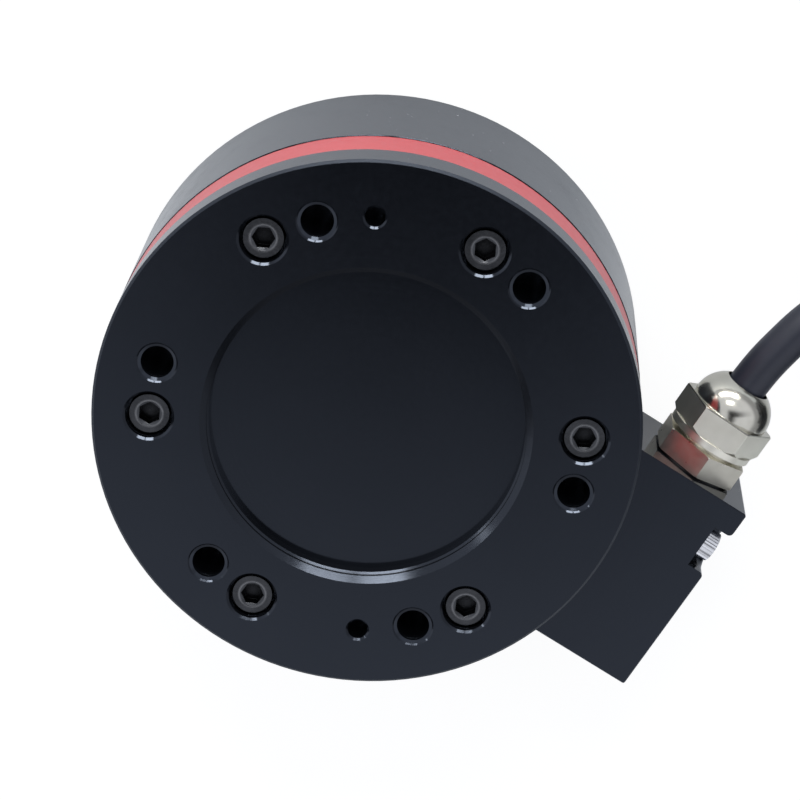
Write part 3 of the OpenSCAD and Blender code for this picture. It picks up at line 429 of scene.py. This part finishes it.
# ---------------------------------------------------------------- studio
world = bpy.data.worlds.new("studio")
bpy.context.scene.world = world
world.use_nodes = True
wt = world.node_tree
wt.nodes.clear()


def wnode(kind, **values):
    n = wt.nodes.new(kind)
    for key, v in values.items():
        n.inputs[key].default_value = v
    return n


ray = wt.nodes.new("ShaderNodeLightPath")
wcoord = wt.nodes.new("ShaderNodeTexCoord")
# the sky that reflections see: a dim patch overhead in a bright tent
heading = wt.nodes.new("ShaderNodeSeparateXYZ")
wt.links.new(wcoord.outputs["Generated"], heading.inputs[0])


def wmath(op, *values):
    """One maths node of the world, fed by numbers or by other nodes."""
    n = wt.nodes.new("ShaderNodeMath")
    n.operation = op
    for sock, v in zip(n.inputs, values):
        if isinstance(v, (int, float)):
            sock.default_value = v
        else:
            wt.links.new(v, sock)
    return n.outputs[0]


def wrange(value, a, b, lo, hi):
    """Eases from lo at a to hi at b."""
    n = wt.nodes.new("ShaderNodeMapRange")
    n.interpolation_type = "SMOOTHSTEP"
    for key, v in (("From Min", a), ("From Max", b), ("To Min", lo), ("To Max", hi)):
        n.inputs[key].default_value = v
    wt.links.new(value, n.inputs["Value"])
    return n.outputs[0]


sky_x, sky_y = heading.outputs[0], heading.outputs[1]
# distance from the patch's middle line, which runs along Y. Toward +X and +Y, distance across it counts
# for less, so that the patch is wider there
past_end = wmath("SUBTRACT", sky_y, wmath("MINIMUM", wmath("MAXIMUM", sky_y, -0.2), 0.16))
wide_end = wmath("MULTIPLY", wrange(sky_y, -0.12, 0.05, 0.0, 1.0), wrange(sky_x, -0.05, 0.1, 0.0, 1.0))
squeeze = wmath("SUBTRACT", 1.0, wmath("MULTIPLY", wide_end, 0.75))
across = wmath("MULTIPLY", wmath("ADD", sky_x, 0.02), squeeze)
away = wmath("SQRT", wmath("ADD", wmath("MULTIPLY", past_end, past_end), wmath("MULTIPLY", across, across)))
low_sky = wrange(heading.outputs[2], 0.25, 0.45, 1.0, 0.0)
# the low sky is dimmer, apart from its part toward -X
dim_low = wmath("MULTIPLY", low_sky, wrange(sky_x, -0.8, -0.3, 0.0, 0.55))
tent = wmath("MULTIPLY", wmath("MAXIMUM", wrange(away, 0.03, 0.26, 0.0, 1.0), low_sky),
             wmath("SUBTRACT", 1.0, dim_low))
wramp = wt.nodes.new("ShaderNodeValToRGB")
wramp.color_ramp.elements[0].color = (0.01, 0.01, 0.012, 1)
wramp.color_ramp.elements[1].color = (0.78, 0.81, 0.90, 1)
wt.links.new(tent, wramp.inputs[0])
glossy_bg = wnode("ShaderNodeBackground", Strength=1.0)
wt.links.new(wramp.outputs[0], glossy_bg.inputs["Color"])
soft_bg = wnode("ShaderNodeBackground", Strength=0.64)
soft_bg.inputs["Color"].default_value = (0.86, 0.91, 1.0, 1)
white_bg = wnode("ShaderNodeBackground", Strength=1.0)
white_bg.inputs["Color"].default_value = (1, 1, 1, 1)
mix_a = wt.nodes.new("ShaderNodeMixShader")
wt.links.new(ray.outputs["Is Glossy Ray"], mix_a.inputs[0])
wt.links.new(soft_bg.outputs[0], mix_a.inputs[1])
wt.links.new(glossy_bg.outputs[0], mix_a.inputs[2])
mix_b = wt.nodes.new("ShaderNodeMixShader")
seen_white = wmath("MAXIMUM", ray.outputs["Is Camera Ray"], ray.outputs["Is Transmission Ray"])
wt.links.new(seen_white, mix_b.inputs[0])
wt.links.new(mix_a.outputs[0], mix_b.inputs[1])
wt.links.new(white_bg.outputs[0], mix_b.inputs[2])
wout = wt.nodes.new("ShaderNodeOutputWorld")
wt.links.new(mix_b.outputs[0], wout.inputs[0])


AIM = (0, 0, 30 * MM)


def lamp(name, where, size, power):
    """Area lamp that faces the middle of the sensor."""
    data = bpy.data.lights.new(name, "AREA")
    data.shape = "RECTANGLE"
    data.size, data.size_y = size
    data.energy = power
    o = bpy.data.objects.new(name, data)
    o.location = where
    o.rotation_euler = (Vector(AIM) - Vector(where)).to_track_quat("-Z", "Y").to_euler()
    bpy.context.scene.collection.objects.link(o)


def aim_from(azimuth, elevation, distance):
    """Point that far from the sensor, with azimuth measured from +Y toward +X."""
    az, el = math.radians(azimuth), math.radians(elevation)
    return (distance * math.cos(el) * math.sin(az), distance * math.cos(el) * math.cos(az),
            AIM[2] + distance * math.sin(el))


LAMP_REACH = 1.4
# each lamp's azimuth, elevation, size in metres and watts
for lamp_name, azimuth, elevation, size, watts in (("panel_left", -13, 19, (0.54, 0.24), 5.9),
                                                   ("panel_right", 14, 19, (0.56, 0.24), 5.6),
                                                   ("panel_upper", 2, 47, (0.5, 0.2), 2.2),
                                                   ("strip", -66, 20, (0.12, 0.24), 0.6)):
    lamp(lamp_name, aim_from(azimuth, elevation, LAMP_REACH), size, watts)

floor_mesh = bpy.data.meshes.new("floor")
floor_mesh.from_pydata([(-3, -3, 0), (3, -3, 0), (3, 3, 0), (-3, 3, 0)], [], [(0, 1, 2, 3)])
floor = bpy.data.objects.new("floor", floor_mesh)
floor.location.z = -0.2 * MM
bpy.context.scene.collection.objects.link(floor)
fm = Nodes("pale_floor")
# painted shade: the floor is darker toward +X and +Y
across_floor = fm.tree.nodes.new("ShaderNodeSeparateXYZ")
fm.link(fm.coord, across_floor.inputs[0])
shade = fm.math("MULTIPLY", fm.range(across_floor.outputs[0], 0.0, 1.0, -0.1, 0.1),
                fm.range(across_floor.outputs[1], 0.0, 1.0, 0.0, 0.04))
fm.link(fm.mix(shade, (0.97, 0.98, 0.99), (0.74, 0.77, 0.8)), fm.bsdf.inputs["Base Color"])
grain = fm.noise(300.0, 2.0)
fm.link(fm.range(grain, 0.85, 0.95), fm.bsdf.inputs["Roughness"])
# only the camera sees the glow, and it leaves a faint shadow
glow = fm.tree.nodes.new("ShaderNodeEmission")
glow.inputs["Color"].default_value = (1, 1, 1, 1)
glow.inputs["Strength"].default_value = 1.1
fpath = fm.tree.nodes.new("ShaderNodeLightPath")
fmix = fm.tree.nodes.new("ShaderNodeMixShader")
fm.link(fm.math("MULTIPLY", fpath.outputs["Is Camera Ray"], 0.82), fmix.inputs[0])
fm.link(fm.bsdf.outputs[0], fmix.inputs[1])
fm.link(glow.outputs[0], fmix.inputs[2])
fm.link(fmix.outputs[0], fm.out.inputs["Surface"])
floor_mesh.materials.append(fm.mat)

bpy.context.scene.view_settings.view_transform = "Standard"
